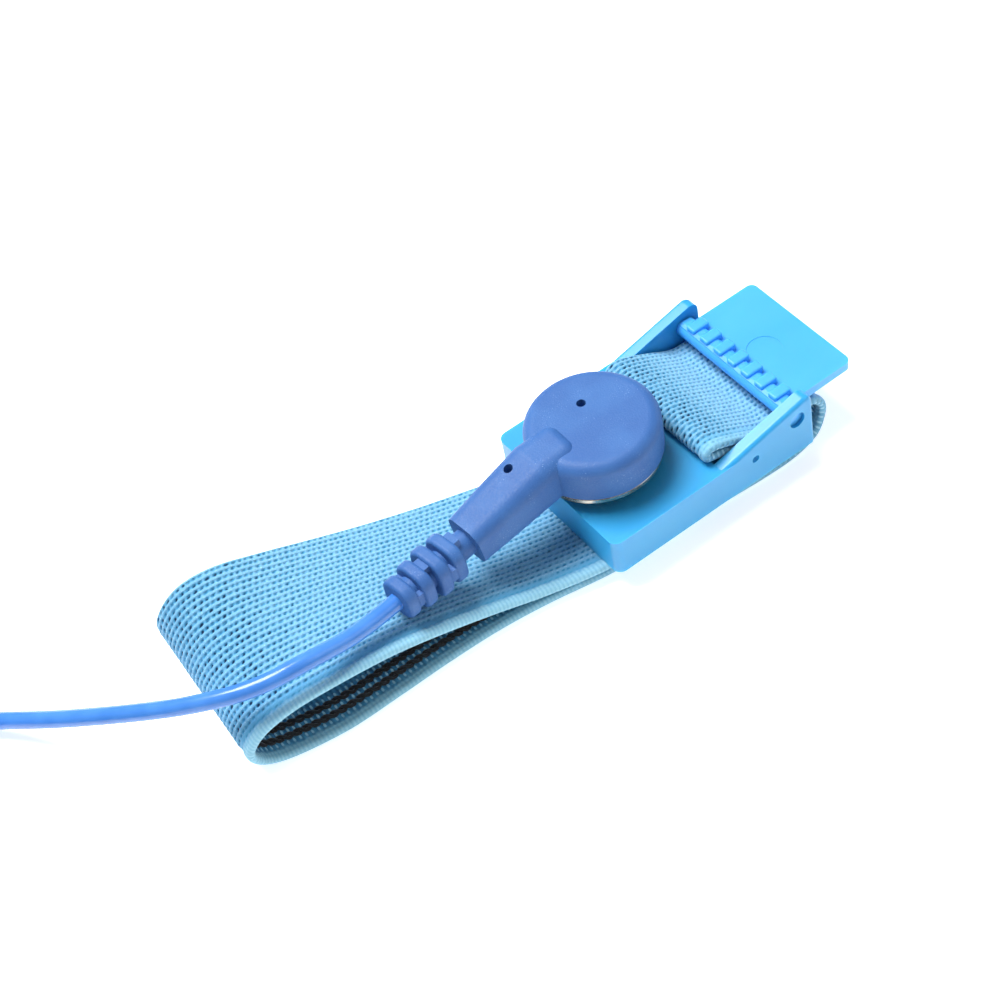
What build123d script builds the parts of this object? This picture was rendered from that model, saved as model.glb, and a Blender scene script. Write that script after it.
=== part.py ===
from build123d import *
import math
import os

# Wrist strap with a cam buckle, a press-stud lead moulding, a coiled lead and a crocodile clip.
# Working frame, millimetres: x runs along the buckle from its plain end to its lever end,
# y across the band, z up, with z = 0 on the underside of the buckle body.
# Everything is moved to the base-centre origin when it is written.

# Buckle body
BODY_LENGTH = 31.3
BODY_WIDTH = 24.0
BODY_HEIGHT = 5.5
CHEEK = 1.8
CHEEK_PEAK = 8.9
TRAY_START = 16.9
RAMP_END = 25.3
RAMP_TOP = 4.8
TRAY_FLOOR = 2.45
TRAY_END = 30.4
MID_Y = BODY_WIDTH / 2

# Cam lever, drawn open
HINGE_X = 28.7
HINGE_Z = 5.8
TRUNNION_R = 1.10
CHEEK_BORE_R = 1.15
TAB_END = 39.8
TAB_WIDTH = 19.1
TAB_THICK = 1.3
RIDGE_WIDTH = 19.9
RIDGE_FRONT = 27.9
RIDGE_TOP = 7.05
TOOTH_COUNT = 7
TOOTH_PITCH = 2.64
TOOTH_TOP = 7.5
KNOB_FRONT = 28.1
KNOB_BACK = 30.75
KNOB_WIDTH = 1.55
DISC = (33.2, 11.4)
DISC_R = 2.3
DISC_DEPTH = 0.08

# Elastic band
BAND_WIDTH = 20.0
BAND_THICK = 1.2
TABLE_Z = -3.2
LOWER_Z = TABLE_Z + BAND_THICK / 2
UPPER_Z = -BAND_THICK / 2
SPAN_STEPS = 4

# Snap fastener, on the vertical axis through SNAP
SNAP = (6.9, MID_Y)
EYELET_R = 1.5
PLATE_THICK = 0.4
STUD_BASE_R = 6.3
STUD_HEAD_R = 4.5
STUD_TOP = 10.3
SOCKET_CUP_R = 5.45
SOCKET_RIM_R = 8.3
SOCKET_Z = 7.75
METAL = 0.4
SPRING_RING_R = 4.83
SPRING_WIRE_R = 0.24

# Lead moulding
CAP_R = 8.5
CAP_BOTTOM = SOCKET_Z + METAL
CAP_TOP = 13.2
CAP_DOME = 0.4
CAP_ROUND = 1.6
NECK_ROOT = Vector(3.2, 12.0, 10.7)
NECK_BEND = Vector(-2.0, 11.95, 10.35)
NECK_END = Vector(-13.2, 11.5, 7.6)
RELIEF_END = Vector(-24.7, 9.8, 7.6)
RING_SIZES = (5.75, 5.9, 5.5, 5.0)
RING_THICK = 1.75
RING_ROUND = 0.5
RELIEF_CORE_R = 1.75

# Lead: 2.2 mm cord, 1.8 m long
CORD_R = 1.1
CORD_LENGTH = 1800
COIL_CENTRE = (-101.1, 23.0)
COIL_MEAN_R = 13.2
COIL_ACROSS = 5
COIL_LAYERS = round(CORD_LENGTH / (2 * math.pi * COIL_MEAN_R * COIL_ACROSS))
COIL_PITCH = 2.3
FLOOR_CORD_Z = TABLE_Z + CORD_R

# Plug and clip at the far end, in line
PLUG_TURN = 215.0
PLUG_HEADING = Vector(1, 0, 0).rotate(Axis.Z, PLUG_TURN)
PLUG_R = 4.0
PLUG_TAIL = Vector(-122.7, 36.7, TABLE_Z + PLUG_R)
PLUG_LENGTH = 20.0
CORD_HOLD = 8.0
PIN_R = 2.0
PIN_CORE_R = 1.35
PIN_LENGTH = 14.0
CLIP_START = 20.6
BARREL_LENGTH = 13.0
CLIP_NOSE = CLIP_START + 38.0
PIVOT_ALONG = CLIP_START + 17.0
PIVOT_HEIGHT = 1.2
JAW_HALF = 2.9
SHEET = 0.5
RIVET_R = 0.9
JAW_TEETH = 6


def node_path(name):
    return os.path.join("parts", name + ".step")


def xz_solid(points, y_low, y_high):
    """A prism whose outline is drawn in the x-z plane."""
    outline = Polyline([(x, y_low, z) for x, z in points], close=True)
    return extrude(make_face(outline), amount=y_high - y_low, dir=(0, 1, 0))


def y_cylinder(x, z, y_low, y_high, radius):
    """A cylinder along y."""
    turned = Rot(90, 0, 0) * Cylinder(radius, y_high - y_low)
    return Pos(x, (y_low + y_high) / 2, z) * turned


def z_cylinder(radius, z_low, z_high, centre=SNAP):
    """An upright cylinder."""
    return Pos(centre[0], centre[1], (z_low + z_high) / 2) * Cylinder(radius, z_high - z_low)


def turned_solid(profile):
    """A turned piece on the snap axis; the profile is a list of radius, height."""
    outline = Polyline([(r, 0, z) for r, z in profile], close=True)
    return Pos(SNAP[0], SNAP[1], 0) * revolve(make_face(outline), axis=Axis.Z)


def line_cylinder(start, end, radius):
    """A cylinder between two points."""
    along = end - start
    plane = Plane(origin=start, z_dir=along)
    return plane * Pos(0, 0, along.length / 2) * Cylinder(radius, along.length)


# ---------------------------------------------------------------- buckle

def buckle_body():
    inner = [(0, 0), (TRAY_END, 0), (TRAY_END, TRAY_FLOOR), (RAMP_END, TRAY_FLOOR),
             (TRAY_START, RAMP_TOP), (TRAY_START, BODY_HEIGHT), (0, BODY_HEIGHT)]
    cheek = [(0, 0), (BODY_LENGTH, 0), (BODY_LENGTH, CHEEK_PEAK),
             (TRAY_START, BODY_HEIGHT), (0, BODY_HEIGHT)]
    floor = xz_solid(inner, CHEEK, BODY_WIDTH - CHEEK)
    nose_edges = floor.edges().filter_by(Axis.Y).group_by(Axis.X)[-1]
    floor = fillet(nose_edges, 1.0)
    body = floor
    for y_low in (0, BODY_WIDTH - CHEEK):
        wall = xz_solid(cheek, y_low, y_low + CHEEK)
        peak = wall.edges().filter_by(Axis.Y).sort_by(Axis.Z)[-1]
        body = body + fillet(peak, 1.2)
    body = body.clean()
    corners = body.edges().filter_by(Axis.Z).group_by(Axis.X)[0]
    body = fillet(corners, 1.2)
    ends = [e for e in body.edges().filter_by(Axis.Z) if e.center().X > BODY_LENGTH - 0.1]
    outer_ends = [e for e in ends if min(e.center().Y, BODY_WIDTH - e.center().Y) < 0.1]
    body = fillet(outer_ends, 0.6)
    body -= z_cylinder(EYELET_R + 0.05, -1, BODY_HEIGHT + 1)
    body -= y_cylinder(HINGE_X, HINGE_Z, -1, BODY_WIDTH + 1, CHEEK_BORE_R)
    for y in (0, BODY_WIDTH):
        body -= Pos(21.9, y, 4.0) * Sphere(0.55)
    return body


def lever_knob():
    """One knob of the ridge: a block with round edges, its foot sunk in the ridge."""
    block = Pos((KNOB_FRONT + KNOB_BACK) / 2, 0, (HINGE_Z + TOOTH_TOP) / 2) * Box(
        KNOB_BACK - KNOB_FRONT, KNOB_WIDTH, TOOTH_TOP - HINGE_Z)
    block = fillet(block.edges().filter_by(Axis.Z), 0.3)
    return fillet(block.faces().sort_by(Axis.Z)[-1].edges(), 0.28)


def cam_lever():
    """Flat tab, hub, toothed ridge and two moulded trunnions."""
    half_tab = TAB_WIDTH / 2
    half_ridge = RIDGE_WIDTH / 2
    low = HINGE_Z - TAB_THICK / 2
    high = HINGE_Z + TAB_THICK / 2
    tab = [(HINGE_X, low), (TAB_END, low), (TAB_END, high), (HINGE_X, high)]
    lever = xz_solid(tab, MID_Y - half_tab, MID_Y + half_tab)
    lever = fillet(lever.edges().filter_by(Axis.Z).group_by(Axis.X)[-1], 1.0)
    ridge = [(RIDGE_FRONT, 5.0), (29.4, 4.6), (30.2, 5.4), (30.2, RIDGE_TOP - 0.55), (29.95, RIDGE_TOP - 0.15),
             (29.5, RIDGE_TOP), (RIDGE_FRONT + 0.6, RIDGE_TOP), (RIDGE_FRONT + 0.15, RIDGE_TOP - 0.25),
             (RIDGE_FRONT, RIDGE_TOP - 0.7)]
    lever += xz_solid(ridge, MID_Y - half_ridge, MID_Y + half_ridge)
    for index in range(TOOTH_COUNT):
        y = MID_Y + (index - (TOOTH_COUNT - 1) / 2) * TOOTH_PITCH
        lever += Pos(0, y, 0) * lever_knob()
    lever += y_cylinder(HINGE_X, HINGE_Z, 0.5, BODY_WIDTH - 0.5, TRUNNION_R)
    # plain shallow moulding disc near the root of the tab
    lever -= Pos(DISC[0], DISC[1], high) * Cylinder(DISC_R, 2 * DISC_DEPTH)
    return lever


# ---------------------------------------------------------------- band

# Each stop: near edge (x, y, z) and far edge (x, y, z) of the middle of the knit.
def flat_stop(x, z, near_y=MID_Y - BAND_WIDTH / 2, far_y=MID_Y + BAND_WIDTH / 2):
    return (x, near_y, z), (x, far_y, z)


FIXED_END = [flat_stop(13.6, UPPER_Z), flat_stop(7.0, UPPER_Z), flat_stop(0.5, UPPER_Z, 2.1, 22.4)]
WRIST_LOOP = [
    ((-7.3, 3.9, UPPER_Z), (-6.6, 24.5, UPPER_Z)),
    ((-14.3, 5.1, 0.7), (-13.4, 25.5, 0.8)),
    ((-21.2, 5.7, 2.5), (-20.3, 26.1, 3.0)),
    ((-28.1, 6.1, 4.1), (-26.9, 26.4, 5.7)),
    ((-35.3, 6.3, 5.1), (-33.4, 26.7, 8.5)),
    ((-41.8, 6.9, 4.9), (-39.6, 27.3, 10.5)),
    ((-46.3, 7.4, 3.4), (-44.4, 28.2, 9.6)),
    ((-48.4, 7.6, 0.8), (-47.4, 29.0, 5.6)),
    ((-47.0, 7.4, -1.6), (-46.3, 29.3, 1.2)),
    ((-43.2, 6.6, LOWER_Z + 0.15), (-42.2, 28.6, -1.75)),
    ((-36.4, 5.6, LOWER_Z), (-35.6, 27.2, LOWER_Z + 0.08)),
    ((-29.2, 5.5, LOWER_Z), (-28.8, 26.7, LOWER_Z)),
    ((-22.0, 5.5, LOWER_Z), (-21.8, 26.3, LOWER_Z)),
    ((-14.7, 5.2, LOWER_Z), (-14.4, 25.6, LOWER_Z)),
    ((-7.6, 4.3, LOWER_Z), (-7.2, 24.3, LOWER_Z)),
]
UNDER_BODY = [
    ((0.3, 2.8, LOWER_Z), (0.3, 22.8, LOWER_Z)),
    flat_stop(8.0, LOWER_Z), flat_stop(16.0, LOWER_Z), flat_stop(24.0, LOWER_Z, 1.5, 21.7),
    flat_stop(29.0, LOWER_Z + 0.12, 1.4, 21.6),
]
LEVER_WRAP = [
    flat_stop(32.8, -1.7, 1.7, 21.8), flat_stop(34.5, 0.5), flat_stop(34.5, 2.6), flat_stop(33.1, 4.0),
    flat_stop(31.0, 3.9), flat_stop(29.2, 3.2), flat_stop(27.3, 3.15), flat_stop(25.4, 3.6),
]
FREE_END = [flat_stop(22.4, 5.3), flat_stop(19.8, 6.75), flat_stop(18.0, 7.5)]
HEM_FOLD = [flat_stop(17.1, 7.65), flat_stop(16.4, 7.25), flat_stop(16.4, 6.5), flat_stop(17.2, 6.15)]
HEM_TAIL = [flat_stop(18.7, 5.65), flat_stop(20.4, 4.95)]
BAND_STOPS = FIXED_END + WRIST_LOOP + UNDER_BODY + LEVER_WRAP + FREE_END + HEM_FOLD + HEM_TAIL


def smooth_line(points, steps):
    """Places along a cubic curve that passes through all the points."""
    last = len(points) - 1
    slopes = [(points[min(i + 1, last)] - points[max(i - 1, 0)]) * 0.5 for i in range(last + 1)]
    places = []
    for i in range(last):
        for k in range(steps):
            t = k / steps
            places.append(points[i] * (2 * t**3 - 3 * t**2 + 1) + slopes[i] * (t**3 - 2 * t**2 + t)
                          + points[i + 1] * (3 * t**2 - 2 * t**3) + slopes[i + 1] * (t**3 - t**2))
    return places + [points[last]]


def resting_line(stops):
    """A smooth line through the stops that never dips below the run lying on the table."""
    places = smooth_line([Vector(*stop) for stop in stops], SPAN_STEPS)
    return [Vector(p.X, p.Y, max(p.Z, LOWER_Z)) for p in places]


def band_sections():
    """Corners of the knit's cross-sections: near and far on one face, then far and near on the other."""
    near = resting_line([n for n, f in BAND_STOPS])
    far = resting_line([f for n, f in BAND_STOPS])
    last = len(near) - 1
    sections = []
    for i in range(len(near)):
        before, after = max(i - 1, 0), min(i + 1, last)
        across = (far[i] - near[i]).normalized()
        corners = []
        for line, side in ((near, 1), (far, 1), (far, -1), (near, -1)):
            along = (line[after] - line[before]).normalized()
            normal = along.cross(across).normalized()
            corners.append(line[i] + normal * (side * BAND_THICK / 2))
        sections.append(corners)
    return sections


def elastic_band():
    """Closed skin of small flat triangles, pierced for the eyelet at the riveted end."""
    sections = band_sections()
    quads = [sections[0], sections[-1]]
    for here, after in zip(sections, sections[1:]):
        quads += [(here[k - 1], here[k], after[k], after[k - 1]) for k in range(4)]
    triangles = []
    for a, b, c, d in quads:
        triangles += [Face(Wire.make_polygon(corners, close=True)) for corners in ((a, b, c), (a, c, d))]
    return Solid(Shell(triangles)) - z_cylinder(EYELET_R + 0.05, -BAND_THICK - 0.1, 0.1)


# ---------------------------------------------------------------- snap fastener

def skin_plate():
    plate = extrude(RectangleRounded(12, 16, 2.5), amount=PLATE_THICK)
    plate = Pos(SNAP[0], SNAP[1], -BAND_THICK - PLATE_THICK) * plate
    return plate - z_cylinder(EYELET_R + 0.02, -3, 0)


def stud_eyelet():
    """Hollow rivet: head on the skin plate, shank through the body, curl inside the stud."""
    foot = -BAND_THICK - PLATE_THICK
    inner = EYELET_R - METAL
    profile = [(inner, foot - 0.3), (3.0, foot - 0.3), (3.0, foot), (EYELET_R, foot),
               (EYELET_R, BODY_HEIGHT + METAL), (2.2, BODY_HEIGHT + METAL),
               (2.2, BODY_HEIGHT + 0.75), (inner, BODY_HEIGHT + 0.75)]
    return turned_solid(profile)


def snap_stud():
    base = BODY_HEIGHT
    profile = [(EYELET_R + 0.02, base), (STUD_BASE_R, base), (STUD_BASE_R, base + METAL),
               (4.35, base + METAL), (4.2, 7.4), (STUD_HEAD_R, 8.6), (STUD_HEAD_R, 9.2),
               (3.9, 10.0), (3.0, STUD_TOP), (0, STUD_TOP), (0, STUD_TOP - METAL),
               (2.8, STUD_TOP - METAL), (3.6, 9.7), (4.05, 9.1), (4.05, 8.7), (3.8, 7.4),
               (3.9, base + METAL), (EYELET_R + 0.02, base + METAL)]
    return turned_solid(profile)


def snap_socket():
    """Pressed cup with a flange whose edge is rolled down."""
    roof = 10.9
    profile = [(0, roof), (SOCKET_CUP_R - 0.3, roof), (SOCKET_CUP_R, roof - 0.3),
               (SOCKET_CUP_R, SOCKET_Z + METAL), (SOCKET_RIM_R - 0.2, SOCKET_Z + METAL),
               (SOCKET_RIM_R, SOCKET_Z + 0.2), (SOCKET_RIM_R, SOCKET_Z - 0.3), (SOCKET_RIM_R - 0.2, SOCKET_Z - 0.5),
               (SOCKET_RIM_R - 0.5, SOCKET_Z - 0.5), (SOCKET_RIM_R - 0.7, SOCKET_Z - 0.3),
               (SOCKET_RIM_R - 0.7, SOCKET_Z), (SOCKET_CUP_R - 0.35, SOCKET_Z),
               (SOCKET_CUP_R - 0.35, roof - 0.3), (0, roof - 0.3)]
    return turned_solid(profile)


def socket_spring():
    """Split wire ring that grips the stud below its head."""
    ring = Torus(SPRING_RING_R, SPRING_WIRE_R) - Pos(0, -SPRING_RING_R, 0) * Box(1.6, 2, 2)
    return Pos(SNAP[0], SNAP[1], SOCKET_Z + 0.35) * ring


# ---------------------------------------------------------------- lead moulding

NECK_AXIS = (NECK_BEND - NECK_END).normalized()
RELIEF_AXIS = (RELIEF_END - NECK_END).normalized()
RELIEF_LENGTH = (RELIEF_END - NECK_END).length


def neck_point(distance):
    """A point on the neck's axis, measured from its cord end towards the cap."""
    return NECK_END + NECK_AXIS * distance


def cross_plane(point, axis):
    """A plane square to the axis, with its x direction level."""
    level = Vector(0, 0, 1).cross(axis).normalized()
    return Plane(origin=point, x_dir=level, z_dir=axis)


def socket_terminal():
    """Flat lug on top of the socket, with a tongue bent down to the resistor."""
    lug = z_cylinder(3.2, 10.9, 11.2)
    tongue_end = neck_point(11.6).X
    lug += Pos((SNAP[0] + tongue_end) / 2, MID_Y, 11.05) * Box(SNAP[0] - tongue_end, 2.2, 0.3)
    lug += Pos(tongue_end + 0.15, MID_Y, 10.35) * Box(0.3, 2.2, 1.7)
    return lug


def resistor_body():
    body = line_cylinder(neck_point(5.2), neck_point(9.6), 1.15)
    return fillet(body.edges().filter_by(GeomType.CIRCLE), 0.35)


def resistor_leads():
    cap_lead = line_cylinder(neck_point(9.6), neck_point(11.4), 0.3)
    return cap_lead + line_cylinder(neck_point(3.6), neck_point(5.2), 0.3)


def lead_crimp():
    return line_cylinder(neck_point(0.3), neck_point(3.6), 1.25)


def cord_inner_end():
    """The cord's end, held inside the strain relief."""
    return line_cylinder(NECK_END + RELIEF_AXIS * 0.5, RELIEF_END, CORD_R)


def rounded_section(point, axis, width, height, corner):
    return cross_plane(point, axis) * RectangleRounded(width, height, corner)


def cap_shell():
    """Round cap with a full round rim, sitting on the socket's flange."""
    cap = z_cylinder(CAP_R, CAP_BOTTOM, CAP_TOP + CAP_DOME)
    top_edge = cap.edges().filter_by(GeomType.CIRCLE).group_by(Axis.Z)[-1]
    cap = fillet(top_edge, CAP_ROUND)
    return fillet(cap.edges().filter_by(GeomType.CIRCLE).group_by(Axis.Z)[0], 0.3)


def strain_relief():
    """Four square rings on a core, joined by webs that change side from gap to gap."""
    relief = line_cylinder(NECK_END, RELIEF_END, RELIEF_CORE_R)
    pitch = (RELIEF_LENGTH - RING_THICK) / len(RING_SIZES)
    for index, size in enumerate(RING_SIZES):
        start = NECK_END + RELIEF_AXIS * (pitch * (index + 1))
        plane = cross_plane(start, RELIEF_AXIS)
        ring = extrude(plane * RectangleRounded(size, size, 1.9), amount=RING_THICK, dir=RELIEF_AXIS)
        relief += fillet(ring.edges(), RING_ROUND)
        gap = pitch - RING_THICK
        web_size = (1.9, size - 0.5) if index % 2 == 0 else (size - 0.5, 1.9)
        web_start = plane.offset(-gap - 0.1)
        relief += extrude(web_start * Rectangle(*web_size), amount=gap + 0.2, dir=RELIEF_AXIS)
    return relief


def snap_moulding(inner_pieces):
    to_cord = (NECK_END - NECK_BEND).normalized()
    sections = [rounded_section(NECK_ROOT, Vector(-1, 0, 0), 6.6, 7.0, 2.2),
                rounded_section(NECK_BEND, (to_cord + Vector(-1, 0, 0)).normalized(), 7.0, 7.0, 2.1),
                rounded_section(neck_point(6.0), to_cord, 6.45, 6.4, 1.9),
                rounded_section(NECK_END, (to_cord + RELIEF_AXIS).normalized(), 5.7, 5.7, 1.7)]
    neck = loft(sections, ruled=True)
    root_face = neck.faces().sort_by(Axis.X)[-1]
    neck = fillet(root_face.edges(), 1.6)
    moulding = cap_shell() + neck + strain_relief()
    moulding -= z_cylinder(SOCKET_CUP_R, CAP_BOTTOM - 1, 10.9)
    moulding -= z_cylinder(SOCKET_RIM_R + 0.1, CAP_BOTTOM - 2, CAP_BOTTOM)
    for piece in inner_pieces:
        moulding -= piece
    for pin_mark in (Vector(7.5, 14.7, CAP_TOP), Vector(-5.0, 12.9, 12.2)):
        moulding -= Pos(pin_mark.X, pin_mark.Y, pin_mark.Z) * Cylinder(0.6, 2.4)
    return moulding


# ---------------------------------------------------------------- lead

COIL_HALF = COIL_ACROSS * COIL_PITCH / 2
COIL_OUT_R = COIL_MEAN_R + COIL_HALF
COIL_IN_R = COIL_MEAN_R - COIL_HALF
COIL_TOP = TABLE_Z + COIL_LAYERS * COIL_PITCH

LEAD_ROUTE = [
    RELIEF_END, RELIEF_END + RELIEF_AXIS * 6.0, Vector(-37.2, 8.0, 9.9), Vector(-44.6, 8.8, 9.9),
    Vector(-51.3, 13.3, 8.2), Vector(-57.7, 20.4, 5.0), Vector(-64.5, 28.7, 1.4),
    Vector(-69.8, 35.8, -1.2), Vector(-77.7, 41.1, FLOOR_CORD_Z), Vector(-87.0, 43.2, FLOOR_CORD_Z),
    Vector(-96.5, 42.7, FLOOR_CORD_Z), Vector(-105.7, 40.2, FLOOR_CORD_Z),
]
TAIL_ROUTE = [
    Vector(-92.2, 38.4, COIL_TOP - COIL_PITCH / 2), Vector(-99.3, 41.8, 4.4), Vector(-107.2, 42.9, 2.9),
    PLUG_TAIL - PLUG_HEADING * 8.0, PLUG_TAIL,
]


def cord_tube(route, name):
    """Straight runs joined by arcs; each radius is 0.45 of the shorter run over tan(half turn)."""
    radii = []
    for before, here, after in zip(route, route[1:], route[2:]):
        turn = math.radians((here - before).get_angle(after - here))
        shorter = min((here - before).length, (after - here).length)
        radii.append(0.45 * shorter / math.tan(turn / 2))
    path = FilletPolyline(*route, radius=radii)
    section = Plane(origin=route[0], z_dir=route[1] - route[0]) * Circle(CORD_R)
    tube = sweep(section, path=path)
    ideal = math.pi * CORD_R**2 * path.length
    print(name, "radii", [round(r, 1) for r in radii], "length", round(path.length, 1),
          "volume over section times length", round(tube.volume / ideal, 4))
    return tube


def cord_coil():
    ring = z_cylinder(COIL_OUT_R, TABLE_Z, COIL_TOP, COIL_CENTRE)
    return ring - z_cylinder(COIL_IN_R, TABLE_Z - 1, COIL_TOP + 1, COIL_CENTRE)


def coil_tie():
    """Flat band strapped once round the coil's turns."""
    across = COIL_ACROSS * COIL_PITCH
    high = COIL_TOP - TABLE_Z
    place = Pos(COIL_CENTRE[0], COIL_CENTRE[1] - COIL_MEAN_R, (TABLE_Z + COIL_TOP) / 2)
    outer = Pos(0, 0, 0.6) * Box(5.0, across + 1.2, high)
    return place * (outer - Box(6.0, across + 0.1, high + 0.1))


# ---------------------------------------------------------------- plug and clip

PLUG_PLANE = Plane(origin=PLUG_TAIL, x_dir=(-PLUG_HEADING.Y, PLUG_HEADING.X, 0), z_dir=PLUG_HEADING)


def plug_disc(start, length, radius):
    """A cylinder on the plug's axis, measured along its heading."""
    return Pos(0, 0, start + length / 2) * Cylinder(radius, length)


def side_plate(outline, low, high):
    """A plate across the plug's axis; the outline is a list of distance along, height."""
    face = make_face(Polyline([(low, height, along) for along, height in outline], close=True))
    return extrude(face, amount=high - low, dir=(1, 0, 0))


def banana_housing():
    shell = plug_disc(0, PLUG_LENGTH, PLUG_R)
    shell = fillet(shell.edges().filter_by(GeomType.CIRCLE), 0.9)
    for index in range(5):
        start = 4.0 + index * 2.4
        shell -= plug_disc(start, 1.0, PLUG_R + 1) - plug_disc(start, 1.0, PLUG_R - 0.35)
    shell -= plug_disc(0, CORD_HOLD, CORD_R)
    return PLUG_PLANE * (shell - plug_disc(CORD_HOLD, PLUG_LENGTH, 1.5))


def plug_cord_end():
    return PLUG_PLANE * plug_disc(0, CORD_HOLD, CORD_R)


def banana_pin():
    shank = plug_disc(CORD_HOLD, PLUG_LENGTH - CORD_HOLD, 1.5)
    return PLUG_PLANE * (shank + plug_disc(PLUG_LENGTH, PIN_LENGTH, PIN_CORE_R))


def banana_spring():
    """Bulged contact sleeve round the pin."""
    start = PLUG_LENGTH + 1.6
    bulge = PIN_R - 0.05
    profile = [(PIN_CORE_R, start), (1.6, start), (bulge, start + 4), (bulge, start + 6),
               (1.6, start + 10), (PIN_CORE_R, start + 10)]
    outline = Polyline([(r, 0, along) for r, along in profile], close=True)
    return PLUG_PLANE * revolve(make_face(outline), axis=Axis.Z)


def jaw_teeth(side):
    """The zigzag edge of a jaw, from the nose back towards the pivot."""
    step = 1.9
    points = []
    for index in range(JAW_TEETH):
        along = CLIP_NOSE - 0.4 - index * step
        points += [(along, side * 0.1), (along - step / 2, side * 0.8)]
    return points


def clip_lower_jaw():
    """Rear barrel, tapered channel with toothed edges, and two ears for the rivet."""
    heel = CLIP_START + BARREL_LENGTH - 1.0
    wall = [(heel, -2.6), (CLIP_NOSE, -1.1)] + jaw_teeth(-1)
    wall += [(PIVOT_ALONG + 4, -0.3), (PIVOT_ALONG + 2, PIVOT_HEIGHT + 1.2),
             (PIVOT_ALONG - 2, PIVOT_HEIGHT + 1.2), (heel, 0.4)]
    sole = [(heel, -2.6), (CLIP_NOSE, -1.1), (CLIP_NOSE, -0.65), (heel, -2.15)]
    jaw = side_plate(sole, -JAW_HALF, JAW_HALF)
    jaw += side_plate(wall, -JAW_HALF, -JAW_HALF + SHEET) + side_plate(wall, JAW_HALF - SHEET, JAW_HALF)
    jaw -= Pos(0, PIVOT_HEIGHT, PIVOT_ALONG) * Rot(0, 90, 0) * Cylinder(RIVET_R, 3 * JAW_HALF)
    jaw -= plug_disc(heel - 1, BARREL_LENGTH + 1 - heel + CLIP_START, PIN_R + 0.7)
    barrel = plug_disc(CLIP_START, BARREL_LENGTH, PIN_R + 0.7)
    barrel -= plug_disc(CLIP_START - 1, BARREL_LENGTH + 2, PIN_R)
    return PLUG_PLANE * (jaw + barrel)


def clip_upper_jaw():
    """Tapered channel with toothed edges that runs back into the thumb lever."""
    half = JAW_HALF - SHEET - 0.2
    back = [(CLIP_NOSE, 1.1), (PIVOT_ALONG + 3, 3.4), (PIVOT_ALONG - 2, 4.4), (CLIP_START + 6, 7.4)]
    under = [(CLIP_START + 6.2, 6.9), (PIVOT_ALONG - 2.2, 3.9), (PIVOT_ALONG + 2.8, 2.9), (CLIP_NOSE, 0.65)]
    wall = back + [(CLIP_START + 6.2, 6.6), (PIVOT_ALONG - 3.2, 3.2), (PIVOT_ALONG - 1.6, PIVOT_HEIGHT - 1.4),
                   (PIVOT_ALONG + 1.6, PIVOT_HEIGHT - 1.4), (PIVOT_ALONG + 6, 0.15)]
    wall += list(reversed(jaw_teeth(1)))
    jaw = side_plate(back + under, -half, half)
    jaw += side_plate(wall, -half, -half + SHEET) + side_plate(wall, half - SHEET, half)
    jaw -= Pos(0, PIVOT_HEIGHT, PIVOT_ALONG) * Rot(0, 90, 0) * Cylinder(RIVET_R + 0.05, 3 * JAW_HALF)
    return PLUG_PLANE * jaw


def clip_rivet():
    shank = Cylinder(RIVET_R, 2 * JAW_HALF + 0.6)
    heads = Pos(0, 0, JAW_HALF + 0.3) * Cylinder(1.3, 0.5) + Pos(0, 0, -JAW_HALF - 0.3) * Cylinder(1.3, 0.5)
    return PLUG_PLANE * (Pos(0, PIVOT_HEIGHT, PIVOT_ALONG) * Rot(0, 90, 0) * (shank + heads))


def clip_spring():
    """Torsion spring: closed turns round the rivet between the jaw walls."""
    wire = 0.24
    turns = Part()
    for index in range(4):
        turns += Pos(0, 0, (index - 1.5) * 2 * wire) * Torus(RIVET_R + 0.05 + wire, wire)
    return PLUG_PLANE * (Pos(0, PIVOT_HEIGHT, PIVOT_ALONG) * Rot(0, 90, 0) * turns)


# ---------------------------------------------------------------- assembly

def build_nodes():
    inside = {
        "socket_terminal": socket_terminal(),
        "resistor_body": resistor_body(),
        "resistor_leads": resistor_leads(),
        "lead_crimp": lead_crimp(),
        "cord_inner_end": cord_inner_end(),
    }
    nodes = {
        "buckle_body": buckle_body(),
        "cam_lever": cam_lever(),
        "elastic_band": elastic_band(),
        "skin_plate": skin_plate(),
        "stud_eyelet": stud_eyelet(),
        "snap_stud": snap_stud(),
        "snap_socket": snap_socket(),
        "socket_spring": socket_spring(),
        "snap_moulding": snap_moulding(list(inside.values())),
    }
    nodes.update(inside)
    nodes.update({
        "cord_lead": cord_tube(LEAD_ROUTE, "cord_lead"),
        "cord_coil": cord_coil(),
        "coil_tie": coil_tie(),
        "cord_tail": cord_tube(TAIL_ROUTE, "cord_tail"),
        "plug_cord_end": plug_cord_end(),
        "banana_housing": banana_housing(),
        "banana_pin": banana_pin(),
        "banana_spring": banana_spring(),
        "clip_lower_jaw": clip_lower_jaw(),
        "clip_upper_jaw": clip_upper_jaw(),
        "clip_rivet": clip_rivet(),
        "clip_spring": clip_spring(),
    })
    return nodes


CORD_NODES = ("cord_lead", "cord_coil", "coil_tie", "cord_tail", "plug_cord_end", "banana_housing",
              "banana_pin", "banana_spring", "clip_lower_jaw", "clip_upper_jaw", "clip_rivet", "clip_spring")


def main():
    os.makedirs("parts", exist_ok=True)
    nodes = build_nodes()
    boxes = [solid.bounding_box() for name, solid in nodes.items() if name not in CORD_NODES]
    low_x, high_x = min(b.min.X for b in boxes), max(b.max.X for b in boxes)
    low_y, high_y = min(b.min.Y for b in boxes), max(b.max.Y for b in boxes)
    low_z = min(b.min.Z for b in boxes)
    origin = Vector((low_x + high_x) / 2, (low_y + high_y) / 2, low_z)
    print("origin in the working frame", [round(v, 3) for v in origin])
    for name, solid in nodes.items():
        export_step(Pos(-origin.X, -origin.Y, -origin.Z) * solid, node_path(name))


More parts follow.
